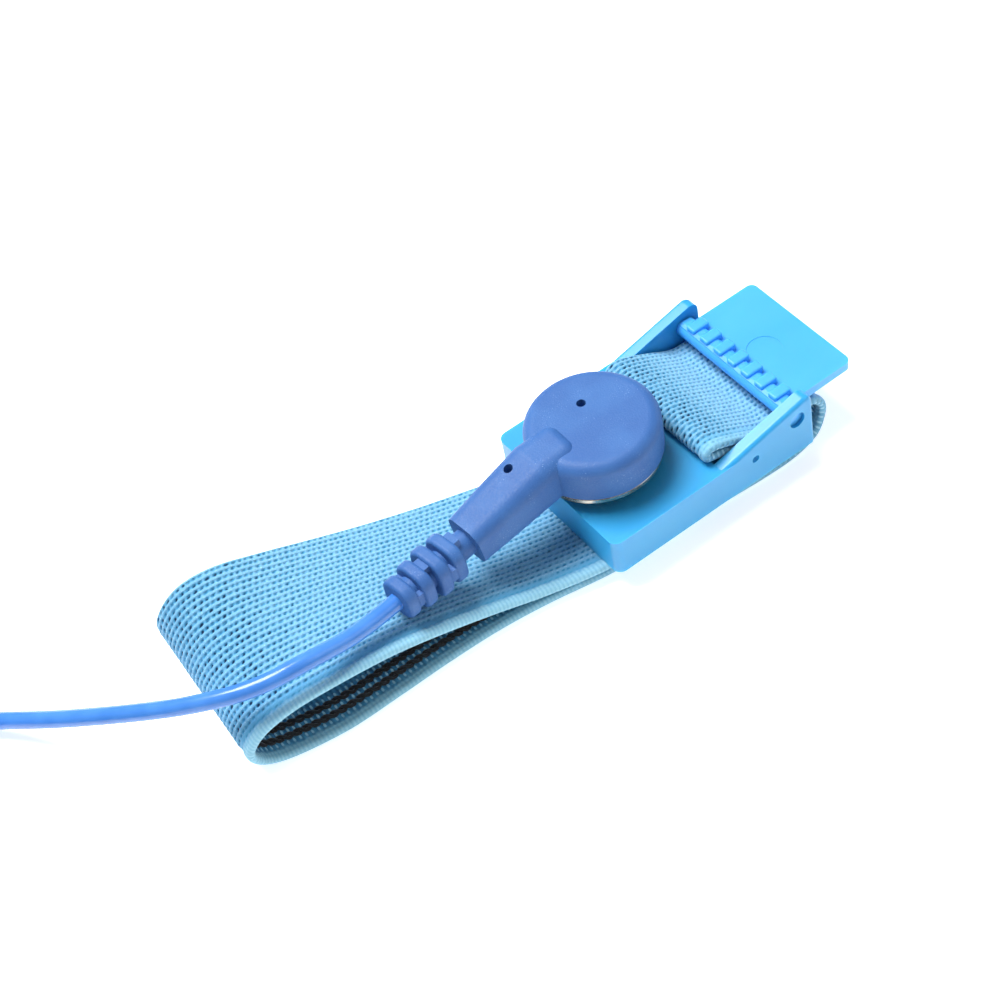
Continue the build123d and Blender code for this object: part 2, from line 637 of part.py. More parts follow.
main()
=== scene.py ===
import math

import bpy
import numpy as np
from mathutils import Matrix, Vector


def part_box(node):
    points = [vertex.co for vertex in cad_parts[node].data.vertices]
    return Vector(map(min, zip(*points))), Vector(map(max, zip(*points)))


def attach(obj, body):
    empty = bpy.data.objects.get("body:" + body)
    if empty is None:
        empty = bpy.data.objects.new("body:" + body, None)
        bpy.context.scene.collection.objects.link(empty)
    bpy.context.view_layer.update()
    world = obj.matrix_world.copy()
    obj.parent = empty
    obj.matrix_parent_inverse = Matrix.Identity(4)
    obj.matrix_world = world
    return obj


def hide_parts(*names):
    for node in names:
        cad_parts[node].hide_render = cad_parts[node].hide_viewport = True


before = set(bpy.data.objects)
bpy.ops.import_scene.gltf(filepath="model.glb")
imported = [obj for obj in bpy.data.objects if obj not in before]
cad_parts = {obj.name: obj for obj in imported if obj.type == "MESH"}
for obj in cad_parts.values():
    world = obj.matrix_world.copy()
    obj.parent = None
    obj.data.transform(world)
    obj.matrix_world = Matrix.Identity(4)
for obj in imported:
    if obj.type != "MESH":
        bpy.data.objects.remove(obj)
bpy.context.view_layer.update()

# Wrist strap for static discharge. Every place below, but those of the lamps, is in millimetres from
# the buckle body's lower corner (plain end, near side, underside), and at() turns it into metres.
MM = 0.001
CORNER, FAR_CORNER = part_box("buckle_body")
MID_Y = (FAR_CORNER.y - CORNER.y) / MM / 2
TABLE_Z = -CORNER.z / MM


def at(x, y, z):
    return CORNER + Vector((x, y, z)) * MM


# ---------------------------------------------------------------- materials

def new_material(name, colour, roughness, **sockets):
    """A Principled material; sockets are the shader's own values, with _ for spaces."""
    material = bpy.data.materials.new(name)
    material.use_nodes = True
    shader = material.node_tree.nodes["Principled BSDF"]
    shader.inputs["Base Color"].default_value = (*colour, 1)
    shader.inputs["Roughness"].default_value = roughness
    for socket, value in sockets.items():
        shader.inputs[socket.replace("_", " ")].default_value = value
    return material


def add(material, kind, links=(), **values):
    """Adds a node; values set its properties, links are (socket, what it takes)."""
    node = material.node_tree.nodes.new(kind)
    for name, value in values.items():
        setattr(node, name, value)
    for socket, source in links:
        if isinstance(source, bpy.types.NodeSocket):
            material.node_tree.links.new(source, node.inputs[socket])
        else:
            node.inputs[socket].default_value = source
    return node


def maths(material, operation, *terms):
    """The output of a Math node; the terms are numbers or outputs of other nodes."""
    node = add(material, "ShaderNodeMath", list(enumerate(terms)), operation=operation)
    return node.outputs[0]


def scaled(material, place, scale):
    return add(material, "ShaderNodeVectorMath", [(0, place), (1, scale)], operation="MULTIPLY").outputs[0]


def object_place(material):
    """Place on the object in millimetres."""
    place = add(material, "ShaderNodeTexCoord").outputs["Object"]
    return scaled(material, place, (1 / MM,) * 3)


def noise(material, place, size, detail, stretch=(1, 1, 1)):
    """Noise whose patches are about size millimetres across, less along an axis that stretch raises."""
    links = [("Vector", scaled(material, place, stretch)), ("Scale", 1 / size), ("Detail", detail)]
    return add(material, "ShaderNodeTexNoise", links).outputs["Fac"]


def blend_colours(material, factor, first, second):
    """Mixes two colours, each given as numbers or as an output of another node."""
    mixed = add(material, "ShaderNodeMix", [("Factor", factor)], data_type="RGBA")
    for index, colour in ((6, first), (7, second)):
        if isinstance(colour, bpy.types.NodeSocket):
            material.node_tree.links.new(colour, mixed.inputs[index])
        else:
            mixed.inputs[index].default_value = (*colour, 1)
    return mixed.outputs[2]


def ramp(material, factor, low, high, dark, light):
    """Runs from dark to light as the factor goes from low to high; numbers or colours."""
    links = [("Value", factor), ("From Min", low), ("From Max", high)]
    fraction = add(material, "ShaderNodeMapRange", links, interpolation_type="SMOOTHSTEP").outputs[0]
    if isinstance(dark, tuple):
        return blend_colours(material, fraction, dark, light)
    return maths(material, "MULTIPLY_ADD", fraction, light - dark, dark)


def join(material, socket, source):
    """Feeds one of the shader's own sockets."""
    shader = material.node_tree.nodes["Principled BSDF"]
    material.node_tree.links.new(source, shader.inputs[socket])


def bump(material, height, depth, strength=1.0):
    """Bump of the given depth in millimetres."""
    links = [("Height", height), ("Distance", depth * MM), ("Strength", strength)]
    join(material, "Normal", add(material, "ShaderNodeBump", links).outputs[0])


def moulded_plastic(name, colour, deep, roughness, grain=0.0, glow=0.4):
    """Slightly see-through plastic: faint flow marks, soft gloss, colour deeper in places."""
    material = new_material(name, colour, roughness, Subsurface_Weight=glow, Subsurface_Scale=2.2 * MM,
                            Subsurface_Radius=(0.25, 0.8, 1.0), Specular_IOR_Level=0.5)
    place = object_place(material)
    flow = noise(material, place, 7.0, 2.0, stretch=(0.4, 1, 1))
    join(material, "Base Color", ramp(material, flow, 0.15, 0.85, deep, colour))
    join(material, "Roughness", ramp(material, flow, 0.15, 0.85, roughness - 0.01, roughness + 0.03))
    if grain:
        bump(material, noise(material, place, 0.35, 4.0), grain)
    return material


def soft_moulding():
    """Matte soft PVC with a fine eroded grain, and a pale bloom of specks in patches."""
    colour, deep, pale = (0.036, 0.130, 0.370), (0.027, 0.105, 0.328), (0.210, 0.350, 0.640)
    material = new_material("moulding_pvc", colour, 0.56, Subsurface_Weight=0.04, Subsurface_Scale=0.8 * MM,
                            Subsurface_Radius=(0.3, 0.6, 1.0), Specular_IOR_Level=0.42)
    place = object_place(material)
    cloud = noise(material, place, 6.0, 3.0)
    base = ramp(material, cloud, 0.32, 0.70, deep, colour)
    speck = noise(material, place, 0.16, 2.0)
    patch = noise(material, place, 3.2, 2.0)
    specks = maths(material, "MULTIPLY", ramp(material, speck, 0.60, 0.72, 0.0, 1.0),
                   ramp(material, patch, 0.52, 0.70, 0.03, 0.65))
    join(material, "Base Color", blend_colours(material, specks, base, pale))
    grain = noise(material, place, 0.22, 5.0)
    join(material, "Roughness", ramp(material, grain, 0.3, 0.7, 0.50, 0.66))
    bump(material, grain, 0.035)
    return material


def cord_jacket():
    """Smooth glossy PVC, with faint ripples left by the extruder."""
    colour, deep = (0.060, 0.225, 0.635), (0.045, 0.188, 0.580)
    material = new_material("cord_pvc", colour, 0.22, Subsurface_Weight=0.08, Subsurface_Scale=0.6 * MM,
                            Subsurface_Radius=(0.3, 0.7, 1.0), Specular_IOR_Level=0.55)
    place = object_place(material)
    ripple = noise(material, place, 4.0, 2.0)
    join(material, "Base Color", ramp(material, ripple, 0.3, 0.7, deep, colour))
    join(material, "Roughness", ramp(material, ripple, 0.3, 0.7, 0.19, 0.25))
    bump(material, ripple, 0.02)
    return material


def plated_metal(name, colour, dull, roughness):
    """Plated or polished metal with patches of a duller colour and fine draw lines."""
    material = new_material(name, colour, roughness, Metallic=1.0)
    place = object_place(material)
    patch = noise(material, place, 2.4, 4.0)
    lines = noise(material, place, 0.12, 3.0, stretch=(1, 1, 6))
    join(material, "Base Color", ramp(material, patch, 0.42, 0.70, colour, dull))
    join(material, "Roughness", ramp(material, lines, 0.3, 0.75, roughness - 0.07, roughness + 0.12))
    bump(material, lines, 0.004)
    return material


# ---------------------------------------------------------------- knitted band

# On the band, s is the length along it from the riveted end, and w the width from its near edge.
BAND_THICK = 1.2
BAND_WIDTH = 20.0
LOWER_Z = TABLE_Z + BAND_THICK / 2
UPPER_Z = -BAND_THICK / 2
LINE_STEPS = 24

# Outer face: stitches in rows along the band, with slanting holes between them.
STITCH_LONG = 0.80
STITCH_ROW = 0.72
STITCH_SLANT = 0.60
GROOVE = 0.22
GROOVE_POWER = 1.6
OUTER_SET_BACK = 0.02
HOLE_DEPTH = 0.18
OPEN_HOLE_DEPTH = 0.22
# Uneven knitting, as waves: share of a stitch, radians for each millimetre, radians for each row.
DRIFT = ((0.16, 0.61, 2.4), (0.10, 1.73, 4.1))

# Stretch opens the holes: at the bends within reach, and by wear round the wrist.
BEND_REACH = 9.0
BEND_STEP = 0.5
BEND_SPREAD = 4.0
BEND_MOST = 0.5
BEND_GAIN = 6.0
LOOP_STRETCH = 0.35
FREE_RELAXED = 40.0
WEAR_FADE = 8.0

# Ribbed selvedges, and the soft channel inside the near one.
SELVEDGE = 1.25
FAR_SELVEDGE = 0.35
SELVEDGE_BLEND = 0.3
RIB_PITCH = 0.53
RIB_SET_BACK = 0.03
RIB_HEIGHT = 0.016
CHANNEL = 0.85
CHANNEL_BLEND = 0.4
CHANNEL_DEPTH = 0.16
INNER_CHANNEL_DEPTH = 0.06

# Inner face: cross ribs and rows of raised loops.
INNER_SET_BACK = 0.16
INNER_RIB = 0.675
INNER_RIB_HEIGHT = 0.03
PEARL_PITCH = 0.80
PEARL_ROW = 1.5
PEARL_START = 3.2
PEARL_HEIGHT = 0.20

# Black yarns on the inner face: where they run, how they twist, and how deep they lie.
YARN_LINES = (2.45, 3.95, 9.25, 10.75, 16.05, 17.55)
YARN_START = 13.2
YARN_END = 0.4
YARN_STEP = 0.2
YARN_R = 0.25
YARN_SIDES = 6
YARN_LAY = 2.4
YARN_SPREAD = 0.27
YARN_FLAT = 0.6
YARN_SUNK = 0.10

# Cells of the knit's mesh: narrow at the round edges, and a set number to a stitch outside.
STITCH_CELLS = 4
INNER_CELL = 0.375
EDGE_PLACES = (0, 0.03, 0.09, 0.18, 0.30, 0.42)
FIRST_OUTER = 0.54
FIRST_INNER = 0.70
FLAT_MARGIN = 0.5
SHORTEST_CELL = 0.05


def flat_stop(x, z, near_y=MID_Y - BAND_WIDTH / 2, far_y=MID_Y + BAND_WIDTH / 2):
    """A stop with both edges at the same place along the buckle and at the same height."""
    return (x, near_y, z), (x, far_y, z)


# Near edge and far edge of the middle of the knit, from the riveted end to the folded hem.
FIXED_END = [flat_stop(13.6, UPPER_Z), flat_stop(7.0, UPPER_Z), flat_stop(0.5, UPPER_Z, 2.1, 22.4)]
WRIST_LOOP = [
    ((-7.3, 3.9, UPPER_Z), (-6.6, 24.5, UPPER_Z)),
    ((-14.3, 5.1, 0.7), (-13.4, 25.5, 0.8)),
    ((-21.2, 5.7, 2.5), (-20.3, 26.1, 3.0)),
    ((-28.1, 6.1, 4.1), (-26.9, 26.4, 5.7)),
    ((-35.3, 6.3, 5.1), (-33.4, 26.7, 8.5)),
    ((-41.8, 6.9, 4.9), (-39.6, 27.3, 10.5)),
    ((-46.3, 7.4, 3.4), (-44.4, 28.2, 9.6)),
    ((-48.4, 7.6, 0.8), (-47.4, 29.0, 5.6)),
    ((-47.0, 7.4, -1.6), (-46.3, 29.3, 1.2)),
    ((-43.2, 6.6, LOWER_Z + 0.15), (-42.2, 28.6, -1.75)),
    ((-36.4, 5.6, LOWER_Z), (-35.6, 27.2, LOWER_Z + 0.08)),
    ((-29.2, 5.5, LOWER_Z), (-28.8, 26.7, LOWER_Z)),
    ((-22.0, 5.5, LOWER_Z), (-21.8, 26.3, LOWER_Z)),
    ((-14.7, 5.2, LOWER_Z), (-14.4, 25.6, LOWER_Z)),
    ((-7.6, 4.3, LOWER_Z), (-7.2, 24.3, LOWER_Z)),
]
UNDER_BODY = [
    ((0.3, 2.8, LOWER_Z), (0.3, 22.8, LOWER_Z)),
    flat_stop(8.0, LOWER_Z), flat_stop(16.0, LOWER_Z), flat_stop(24.0, LOWER_Z, 1.5, 21.7),
    flat_stop(29.0, LOWER_Z + 0.12, 1.4, 21.6),
]
LEVER_WRAP = [
    flat_stop(32.8, -1.7, 1.7, 21.8), flat_stop(34.5, 0.5), flat_stop(34.5, 2.6), flat_stop(33.1, 4.0),
    flat_stop(31.0, 3.9), flat_stop(29.2, 3.2), flat_stop(27.3, 3.15), flat_stop(25.4, 3.6),
]
FREE_END = [flat_stop(22.4, 5.3), flat_stop(19.8, 6.75), flat_stop(18.0, 7.5)]
HEM_FOLD = [flat_stop(17.1, 7.65), flat_stop(16.4, 7.25), flat_stop(16.4, 6.5), flat_stop(17.2, 6.15)]
HEM_TAIL = [flat_stop(18.7, 5.65), flat_stop(20.4, 4.95)]
BAND_STOPS = FIXED_END + WRIST_LOOP + UNDER_BODY + LEVER_WRAP + FREE_END + HEM_FOLD + HEM_TAIL


def smooth_line(points):
    """Places along a cubic curve that passes through all the points, none lower than the table allows."""
    points = np.array(points, float)
    last = len(points) - 1
    slopes = np.array([(points[min(i + 1, last)] - points[max(i - 1, 0)]) * 0.5 for i in range(last + 1)])
    t = np.linspace(0, 1, LINE_STEPS, endpoint=False)[:, None]
    spans = [points[i] * (2 * t**3 - 3 * t**2 + 1) + slopes[i] * (t**3 - 2 * t**2 + t)
             + points[i + 1] * (3 * t**2 - 2 * t**3) + slopes[i + 1] * (t**3 - t**2) for i in range(last)]
    places = np.vstack(spans + [points[last:]])
    places[:, 2] = np.maximum(places[:, 2], LOWER_Z)
    return places


def face_normals(line, across):
    """Points out of the strap, away from the wrist."""
    normal = np.cross(across, np.gradient(line, axis=0))
    return normal / np.linalg.norm(normal, axis=1)[:, None]


class BandSheet:
    """The middle of the knit as a surface: where() gives places for a length along and across."""

    def __init__(self):
        self.near = smooth_line([near for near, far in BAND_STOPS])
        self.far = smooth_line([far for near, far in BAND_STOPS])
        self.middle = (self.near + self.far) / 2
        steps = np.linalg.norm(np.diff(self.middle, axis=0), axis=1)
        self.along = np.concatenate([[0], np.cumsum(steps)])
        self.length = self.along[-1]
        self.free_start = self.length - FREE_RELAXED
        self.near_normal = face_normals(self.near, self.far - self.near)
        self.far_normal = face_normals(self.far, self.far - self.near)

    def stretch(self, s):
        """0 to 1: how far the stitches are open on the outer side, from the bends nearby and from
        wear round the wrist, which the free end hasn't had."""
        along = np.gradient(self.middle, axis=0)
        turning = np.gradient((self.near_normal + self.far_normal) / 2, axis=0)
        curving = (along * turning).sum(axis=1) / np.maximum((along * along).sum(axis=1), 1e-9)
        opened = np.clip(curving, 0, BEND_MOST)
        reach = np.arange(-BEND_REACH, BEND_REACH + BEND_STEP / 2, BEND_STEP)
        weights = np.exp(-(reach / BEND_SPREAD) ** 2)
        bent = sum(weight * np.interp(s + step, self.along, opened) for step, weight in zip(reach, weights))
        worn = LOOP_STRETCH * np.clip((self.free_start - s) / WEAR_FADE, 0, 1)
        return np.clip(bent / weights.sum() * BEND_GAIN + worn, 0, 1)

    def pick(self, table, s):
        """A table of places or directions along the band, read at the lengths s."""
        return np.stack([np.interp(s, self.along, table[:, k]) for k in range(3)], axis=-1)

    def where(self, s, w, height):
        """s along and w across in millimetres, height above the middle on the outer side."""
        share = (np.asarray(w, float) / BAND_WIDTH)[..., None]
        place = self.pick(self.near, s) * (1 - share) + self.pick(self.far, s) * share
        normal = self.pick(self.near_normal, s) * (1 - share) + self.pick(self.far_normal, s) * share
        normal /= np.linalg.norm(normal, axis=-1)[..., None]
        return place + normal * np.asarray(height, float)[..., None]


band_sheet = BandSheet()


def drift(s, row):
    """Uneven knitting: each row's stitches creep forward and back by a part of a stitch."""
    return sum(share * np.sin(s * pace + row * step) for share, pace, step in DRIFT)


def raised(turns):
    """1 at whole turns, 0 half way between them."""
    return 0.5 + 0.5 * np.cos(2 * np.pi * turns)


def stitch_hole(s, w):
    """Outer face: 1 in the middle of each hole between stitches, 0 on the stitches. The holes lie in
    rows along the band, half a stitch on from those of the next row, and each one slants."""
    row = w / STITCH_ROW
    nearest = np.round(row)
    turn = s / STITCH_LONG + nearest / 2 + STITCH_SLANT * (row - nearest) + drift(s, nearest)
    return raised(row) ** GROOVE_POWER * (GROOVE + (1 - GROOVE) * raised(turn))


def pearl(s, w):
    """Inner face: rows of small raised loops beside the black yarns."""
    return (raised(s / PEARL_PITCH) * raised((w - PEARL_START) / PEARL_ROW)) ** 2


def edge_shares(w):
    """Shares from 0 to 1 of the round selvedges and of the sunken channel inside the near one."""
    edge = np.minimum(w, BAND_WIDTH - w + SELVEDGE - FAR_SELVEDGE)
    selvedge = np.clip((SELVEDGE - edge) / SELVEDGE_BLEND + 0.5, 0, 1)
    channel = np.clip((SELVEDGE + CHANNEL - w) / CHANNEL_BLEND + 0.5, 0, 1) * (1 - selvedge)
    return selvedge, channel


def selvedge_relief(s):
    """Fine ribs square to the edge."""
    return RIB_HEIGHT * np.cos(2 * np.pi * s / RIB_PITCH) - RIB_SET_BACK


def outer_relief(s, w, stretch):
    """Height over the plain section, in millimetres; below 0 where the knit is sunken."""
    selvedge, channel = edge_shares(w)
    body = -OUTER_SET_BACK - (HOLE_DEPTH + OPEN_HOLE_DEPTH * stretch) * stitch_hole(s, w)
    return body * (1 - selvedge - channel) + selvedge_relief(s) * selvedge - CHANNEL_DEPTH * channel


def inner_relief(s, w):
    """The same for the face on the wrist side."""
    selvedge, channel = edge_shares(w)
    ribs = INNER_RIB_HEIGHT * np.cos(2 * np.pi * s / INNER_RIB)
    body = ribs - INNER_SET_BACK + PEARL_HEIGHT * pearl(s, w)
    return body * (1 - selvedge) + selvedge_relief(s) * selvedge - INNER_CHANNEL_DEPTH * channel


def edge_round(w):
    """The half thickness, drawn in to a round edge."""
    edge = np.minimum(w, BAND_WIDTH - w)
    half = BAND_THICK / 2
    inside = np.clip(edge / half, 0, 1)
    return half * np.sqrt(np.clip(1 - (1 - inside) ** 2, 0, 1))


def mesh_piece(name, points, faces, material, body, smooth=True):
    """A mesh in the frame's metres from places in millimetres, riding on a body."""
    mesh = bpy.data.meshes.new(name)
    mesh.from_pydata((np.asarray(points) * MM + np.array(CORNER)).tolist(), [], faces)
    mesh.validate()
    if smooth:
        mesh.polygons.foreach_set("use_smooth", [True] * len(mesh.polygons))
    mesh.materials.append(material)
    piece = bpy.data.objects.new(name, mesh)
    bpy.context.collection.objects.link(piece)
    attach(piece, body)
    return piece


def ring_faces(rings, around):
    """Quads between rings of points, and a cap on each end."""
    ring, k = np.meshgrid(np.arange(rings - 1), np.arange(around), indexing="ij")
    after = (k + 1) % around
    quads = np.stack([ring * around + k, ring * around + after,
                      (ring + 1) * around + after, (ring + 1) * around + k], axis=-1)
    faces = quads.reshape(-1, 4).tolist()
    faces.append(list(range(around))[::-1])
    faces.append([(rings - 1) * around + i for i in range(around)])
    return faces


def wave(material, value, pitch):
    """Cosine of the value, 1 at every whole pitch and -1 half way between them."""
    return maths(material, "COSINE", maths(material, "MULTIPLY", value, 2 * math.pi / pitch))


def half_wave(material, value, pitch):
    """1 at every whole pitch, 0 half way between them."""
    return maths(material, "MULTIPLY_ADD", wave(material, value, pitch), 0.5, 0.5)


def uneven(material, value, factor, amount):
    """The value, moved up or down by up to half the amount as the noise factor varies."""
    return maths(material, "MULTIPLY_ADD", maths(material, "SUBTRACT", factor, 0.5), amount, value)


def stitch_nodes(material, s, w):
    """stitch_hole() in shader nodes, so that colour and mesh agree: the groove and the hole."""
    row = maths(material, "DIVIDE", w, STITCH_ROW)
    nearest = maths(material, "ROUND", row)
    turn = maths(material, "MULTIPLY_ADD", nearest, 0.5, maths(material, "DIVIDE", s, STITCH_LONG))
    turn = maths(material, "MULTIPLY_ADD", maths(material, "SUBTRACT", row, nearest), STITCH_SLANT, turn)
    for share, pace, step in DRIFT:
        phase = maths(material, "MULTIPLY_ADD", nearest, step, maths(material, "MULTIPLY", s, pace))
        turn = maths(material, "MULTIPLY_ADD", maths(material, "SINE", phase), share, turn)
    groove = maths(material, "POWER", half_wave(material, row, 1.0), GROOVE_POWER)
    dip = maths(material, "MULTIPLY_ADD", half_wave(material, turn, 1.0), 1 - GROOVE, GROOVE)
    return groove, maths(material, "MULTIPLY", groove, dip)


def outer_colour(material, groove, hole, stretch, yarn, patch):
    """Pale stitches with painted shade darkening the gaps, darker all over where stretched, some holes
    darker than others; painted highlights glint on the stitches.
    """
    thread, shade, stretched = (0.200, 0.465, 0.680), (0.050, 0.260, 0.465), (0.050, 0.265, 0.485)
    painted_hole_shade, shine = (0.004, 0.032, 0.085), (0.56, 0.88, 1.0)
    # Painted shade in the holes: deeper where the knit is stretched, stronger in some holes than others,
    # near black in the deepest.
    open_hole = maths(material, "MULTIPLY_ADD", stretch, 0.78, 0.20)
    odd_hole = ramp(material, patch, 0.34, 0.70, 0.40, 1.60)
    depth = maths(material, "MULTIPLY", maths(material, "MULTIPLY", hole, open_hole), odd_hole)
    depth = uneven(material, depth, yarn, 0.22)
    knit = ramp(material, depth, 0.0, 0.42, thread, shade)
    knit = blend_colours(material, maths(material, "MULTIPLY", stretch, 0.38), knit, stretched)
    knit = blend_colours(material, ramp(material, depth, 0.48, 0.92, 0.0, 1.0), knit, painted_hole_shade)
    # Painted highlights: pale glints on the stitch crests between the rows of holes.
    glint = maths(material, "MULTIPLY", ramp(material, groove, 0.25, 0.0, 0.0, 1.0),
                  ramp(material, yarn, 0.54, 0.70, 0.0, 0.6))
    return blend_colours(material, glint, knit, shine)


def inner_colour(material, s, w, yarn):
    """Deeper teal cross ribs and rows of pale loops."""
    hollow, crest, loop = (0.035, 0.190, 0.360), (0.080, 0.320, 0.520), (0.50, 0.80, 0.95)
    rib = uneven(material, wave(material, s, INNER_RIB), yarn, 1.2)
    ribs = ramp(material, rib, -1.2, 1.2, hollow, crest)
    across = half_wave(material, maths(material, "SUBTRACT", w, PEARL_START), PEARL_ROW)
    loops = maths(material, "MULTIPLY", half_wave(material, s, PEARL_PITCH), across)
    return blend_colours(material, ramp(material, loops, 0.50, 0.88, 0.0, 0.95), ribs, loop)


def edge_nodes(material, s, w, outer, patch):
    """Shares of the selvedges and of the channel, both fainter on the free end."""
    opposite = maths(material, "SUBTRACT", BAND_WIDTH + SELVEDGE - FAR_SELVEDGE, w)
    edge = uneven(material, maths(material, "MINIMUM", w, opposite), patch, 0.8)
    selvedge = ramp(material, edge, SELVEDGE - 0.45, SELVEDGE + 0.30, 1.0, 0.0)
    inside = SELVEDGE + CHANNEL
    channel = ramp(material, w, inside - 0.25, inside + 0.35, 0.75, 0.0)
    channel = maths(material, "MULTIPLY", channel, maths(material, "MULTIPLY_ADD", outer, 0.6, 0.4))
    crisp = ramp(material, s, band_sheet.free_start, band_sheet.free_start + WEAR_FADE, 1.0, 0.45)
    return maths(material, "MULTIPLY", selvedge, crisp), maths(material, "MULTIPLY", channel, crisp)


def band_material():
    """Blue knit: stitches with painted highlights, holes between them darkened by painted shade, pale
    ribbed selvedges, ribbed inner face.
    """
    material = new_material("knit_elastic", (0.30, 0.62, 0.82), 0.72, Sheen_Weight=0.2,
                            Sheen_Roughness=0.4, Specular_IOR_Level=0.3)
    soft, border_low, border_high = (0.085, 0.360, 0.600), (0.215, 0.500, 0.675), (0.320, 0.620, 0.770)
    weave = add(material, "ShaderNodeAttribute", attribute_name="weave").outputs["Vector"]
    stretch = add(material, "ShaderNodeAttribute", attribute_name="stretch").outputs["Fac"]
    s, w, face = add(material, "ShaderNodeSeparateXYZ", [(0, weave)]).outputs
    place = object_place(material)
    yarn = noise(material, place, 0.12, 3.0)
    patch = noise(material, place, 0.75, 1.0)
    groove, hole = stitch_nodes(material, s, w)
    outer = ramp(material, face, -0.05, 0.05, 0.0, 1.0)
    selvedge, channel = edge_nodes(material, s, w, outer, patch)
    body = blend_colours(material, outer, inner_colour(material, s, w, yarn),
                         outer_colour(material, groove, hole, stretch, yarn, patch))
    body = blend_colours(material, channel, body, soft)
    ribs = uneven(material, wave(material, s, RIB_PITCH), yarn, 3.4)
    border = ramp(material, ribs, -2.0, 1.6, border_low, border_high)
    join(material, "Base Color", blend_colours(material, selvedge, body, border))
    join(material, "Roughness", ramp(material, yarn, 0.3, 0.7, 0.58, 0.80))
    strands = maths(material, "MULTIPLY_ADD", yarn, 0.7, maths(material, "MULTIPLY", hole, -1.0))
    bump(material, strands, 0.12, 0.8)
    return material


def across_places(first, cell):
    """Places across one face, close together at the round edges and a cell apart between them."""
    near_edge = np.array(EDGE_PLACES)
    flat = np.arange(first, BAND_WIDTH - FLAT_MARGIN, cell)
    return np.concatenate([near_edge, flat, (BAND_WIDTH - near_edge)[:0:-1]])


def knitted_band():
    """The band's knit as one closed mesh of rings round the section, four to a stitch."""
    rings = np.arange(0, band_sheet.length - SHORTEST_CELL, STITCH_LONG / STITCH_CELLS)
    rings = np.append(rings, band_sheet.length)
    outer = across_places(FIRST_OUTER, STITCH_ROW / STITCH_CELLS)
    inner = across_places(FIRST_INNER, INNER_CELL)
    section = np.concatenate([outer, BAND_WIDTH - inner])
    side = np.concatenate([np.ones(len(outer)), -np.ones(len(inner))])
    s, w = np.meshgrid(rings, section, indexing="ij")
    sides = np.broadcast_to(side, s.shape)
    stretch = band_sheet.stretch(s)
    relief = np.where(sides > 0, outer_relief(s, w, stretch), inner_relief(s, w))
    taper = edge_round(w) / (BAND_THICK / 2)
    points = band_sheet.where(s, w, sides * (edge_round(w) + relief * taper)).reshape(-1, 3)
    faces = ring_faces(len(rings), len(section))
    piece = mesh_piece("elastic_band_knit", points, faces, band_material(), "strap")
    weave = piece.data.attributes.new("weave", "FLOAT_VECTOR", "POINT")
    weave.data.foreach_set("vector", np.stack([s, w, sides * taper], axis=-1).reshape(-1))
    opened = piece.data.attributes.new("stretch", "FLOAT", "POINT")
    opened.data.foreach_set("value", stretch.reshape(-1))
    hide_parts("elastic_band")
    return piece


def tube_mesh(paths, radius, around):
    """Points and faces of round tubes along paths of close points, in millimetres."""
    points, faces = [], []
    # a fixed direction, near upright, that sets where each ring of a tube starts
    guide = (0.13, 0.21, 0.97)
    angle = np.arange(around)[:, None] * 2 * math.pi / around
    for path in paths:
        along = np.gradient(path, axis=0)
        along /= np.linalg.norm(along, axis=1)[:, None]
        side = np.cross(along, guide)
        side /= np.linalg.norm(side, axis=1)[:, None]
        up = np.cross(side, along)
        ring = side[:, None, :] * np.cos(angle) + up[:, None, :] * np.sin(angle)
        start = len(points)
        points.extend((path[:, None, :] + ring * radius).reshape(-1, 3).tolist())
        faces.extend([[start + i for i in face] for face in ring_faces(len(path), around)])
    return points, faces


def yarn_material():
    """Matte black carbon yarn."""
    black, deep, light = (0.010, 0.011, 0.013), (0.004, 0.005, 0.006), (0.035, 0.038, 0.045)
    material = new_material("carbon_yarn", black, 0.6, Sheen_Weight=0.3, Specular_IOR_Level=0.35)
    strand = noise(material, object_place(material), 0.10, 3.0)
    join(material, "Base Color", ramp(material, strand, 0.35, 0.75, deep, light))
    bump(material, strand, 0.08)
    return material


def conductive_yarns():
    """Pairs of black carbon cords on the wrist side, each of two yarns twisted round each other."""
    s = np.arange(YARN_START, band_sheet.length - YARN_END, YARN_STEP)
    paths = []
    for line in YARN_LINES:
        for strand_turn in (0, math.pi):
            turn = 2 * np.pi * s / YARN_LAY + strand_turn
            depth = BAND_THICK / 2 - YARN_SUNK + YARN_FLAT * YARN_SPREAD * np.sin(turn)
            paths.append(band_sheet.where(s, line + YARN_SPREAD * np.cos(turn), -depth))
    points, faces = tube_mesh(paths, YARN_R, YARN_SIDES)
    piece = mesh_piece("conductive_yarns", points, faces, yarn_material(), "strap")
    return piece


# ---------------------------------------------------------------- cord

CORD_R = 1.1
FLOOR_CORD_Z = TABLE_Z + CORD_R
COIL_CENTRE = (-101.1, 23.0)
COIL_MEAN_R = 13.2
COIL_ACROSS = 5
COIL_LAYERS = 4
COIL_PITCH = 2.3
COIL_TOP = TABLE_Z + COIL_LAYERS * COIL_PITCH
COIL_START = math.radians(105.0)
COIL_TURNS = 19.875
COIL_POINTS = 24
COIL_SHIFT = 0.18
NECK_END = Vector((-13.2, 11.5, 7.6))
RELIEF_END = Vector((-24.7, 9.8, 7.6))
RELIEF_AXIS = (RELIEF_END - NECK_END).normalized()
PLUG_TURN = math.radians(215.0)
PLUG_HEADING = Vector((math.cos(PLUG_TURN), math.sin(PLUG_TURN), 0))
PLUG_R = 4.0
PLUG_TAIL = Vector((-122.7, 36.7, TABLE_Z + PLUG_R))

